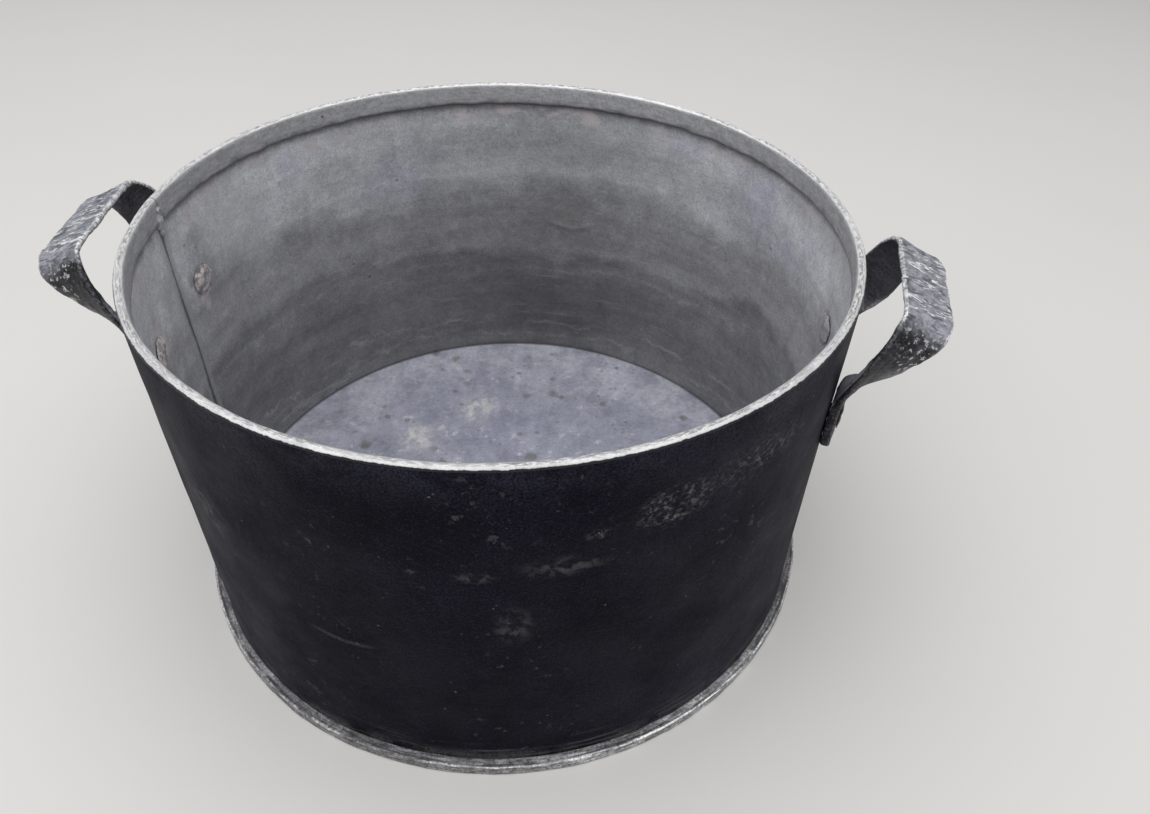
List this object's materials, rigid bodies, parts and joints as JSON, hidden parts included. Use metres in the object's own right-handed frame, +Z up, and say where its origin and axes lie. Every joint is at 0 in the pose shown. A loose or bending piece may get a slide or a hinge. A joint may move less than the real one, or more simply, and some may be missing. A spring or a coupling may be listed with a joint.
{
  "type": "cooking pot",
  "caption": "Large round sheet-iron cooking pot with a hemmed rim, a lapped side seam, a folded bottom seam and riveted strap handles.",
  "frame": {"origin": "centre of the pot's underside, on the surface it stands on", "axes": "+Z up out of the mouth, +X towards the right handle, -Y the side that both handles are set a little towards"},
  "size_m": [0.4932, 0.4082, 0.236],
  "materials": {
    "sooty_sheet": "soot-blackened matt outside, dull grey tinned inside, bare worn rim",
    "worn_sheet": "dull tinned grey with stains, seam edge worn to bare metal",
    "hammered_strap": "hammer-marked forged iron, polished by hands on the grip, dark on the legs",
    "rivet_iron": "dark forged iron"
  },
  "bodies": {
    "root": {"side_wall": "sooty_sheet", "bottom_pan": "worn_sheet", "handle_right": "hammered_strap", "handle_left": "hammered_strap", "rivet_right_front": "rivet_iron", "rivet_right_back": "rivet_iron", "rivet_left_front": "rivet_iron", "rivet_left_back": "rivet_iron"}
  },
  "joints": []
}
